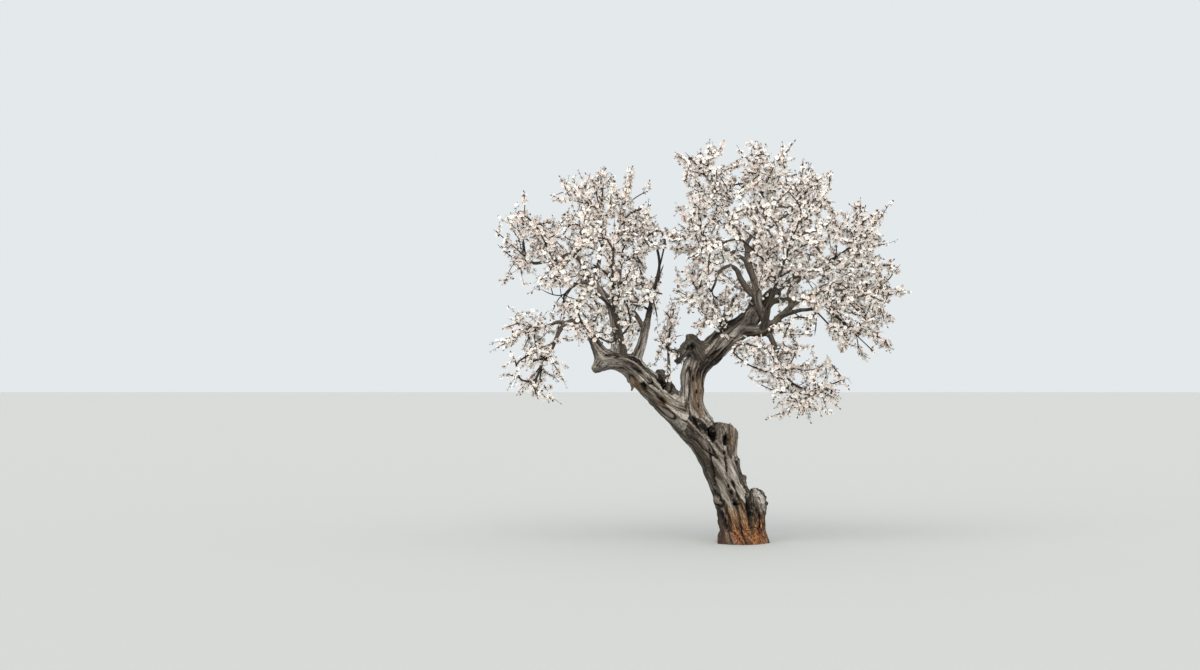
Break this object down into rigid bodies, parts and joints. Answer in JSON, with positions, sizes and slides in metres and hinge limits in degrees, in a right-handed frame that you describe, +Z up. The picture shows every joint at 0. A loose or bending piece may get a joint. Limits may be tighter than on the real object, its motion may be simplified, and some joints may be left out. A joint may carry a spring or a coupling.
{
  "type": "almond tree",
  "caption": "Old leaning almond tree in full blossom, with a hollowed trunk that forks into two gnarled boughs, each with its own crown.",
  "frame": {"origin": "point in the flat cut under the trunk, at ground level, below the middle of the foot", "axes": "+Z up, +X to the right as the picture shows the tree, +Y away from the viewer"},
  "size_m": [4.2764, 2.3971, 4.0079],
  "materials": {
    "bark": "rough, fissured, weathered grey bark",
    "dead_wood": "bare dead wood, dark and cracked",
    "blossom": "pale pink and white petals, matt"
  },
  "bodies": {
    "root": {"fork_shoot": "bark", "fork_shoot_blossom": "blossom", "left_back_blossom": "blossom", "left_back_limb": "bark", "left_bough": "bark", "left_dead_stub": "dead_wood", "left_drooping_limb": "bark", "left_finger_limb": "bark", "left_front_blossom": "blossom", "left_front_limb": "bark", "left_hanging_blossom": "blossom", "left_high_blossom": "blossom", "left_inner_blossom": "blossom", "left_inner_limb": "bark", "left_low_blossom": "blossom", "left_low_limb": "bark", "left_middle_blossom": "blossom", "left_middle_limb": "bark", "left_outer_limb": "bark", "left_top_blossom": "blossom", "left_top_limb": "bark", "left_upright_limb": "bark", "left_wing_blossom": "blossom", "left_wing_limb": "bark", "right_back_blossom": "blossom", "right_back_limb": "bark", "right_back_low_blossom": "blossom", "right_back_low_limb": "bark", "right_bough": "bark", "right_crown_blossom": "blossom", "right_crown_limb": "bark", "right_dead_stub": "dead_wood", "right_drooping_limb": "bark", "right_far_blossom": "blossom", "right_far_limb": "bark", "right_front_blossom": "blossom", "right_front_limb": "bark", "right_front_low_blossom": "blossom", "right_front_low_limb": "bark", "right_hanging_blossom": "blossom", "right_hanging_limb": "bark", "right_high_blossom": "blossom", "right_high_limb": "bark", "right_high_outer_blossom": "blossom", "right_high_outer_limb": "bark", "right_inner_blossom": "blossom", "right_knot": "dead_wood", "right_left_blossom": "blossom", "right_left_limb": "bark", "right_low_blossom": "blossom", "right_middle_blossom": "blossom", "right_middle_limb": "bark", "right_outer_limb": "bark", "right_stub_limb": "dead_wood", "right_top_blossom": "blossom", "right_top_limb": "bark", "right_twin_limb": "bark", "right_upright_limb": "bark", "trunk": "bark"}
  },
  "joints": []
}
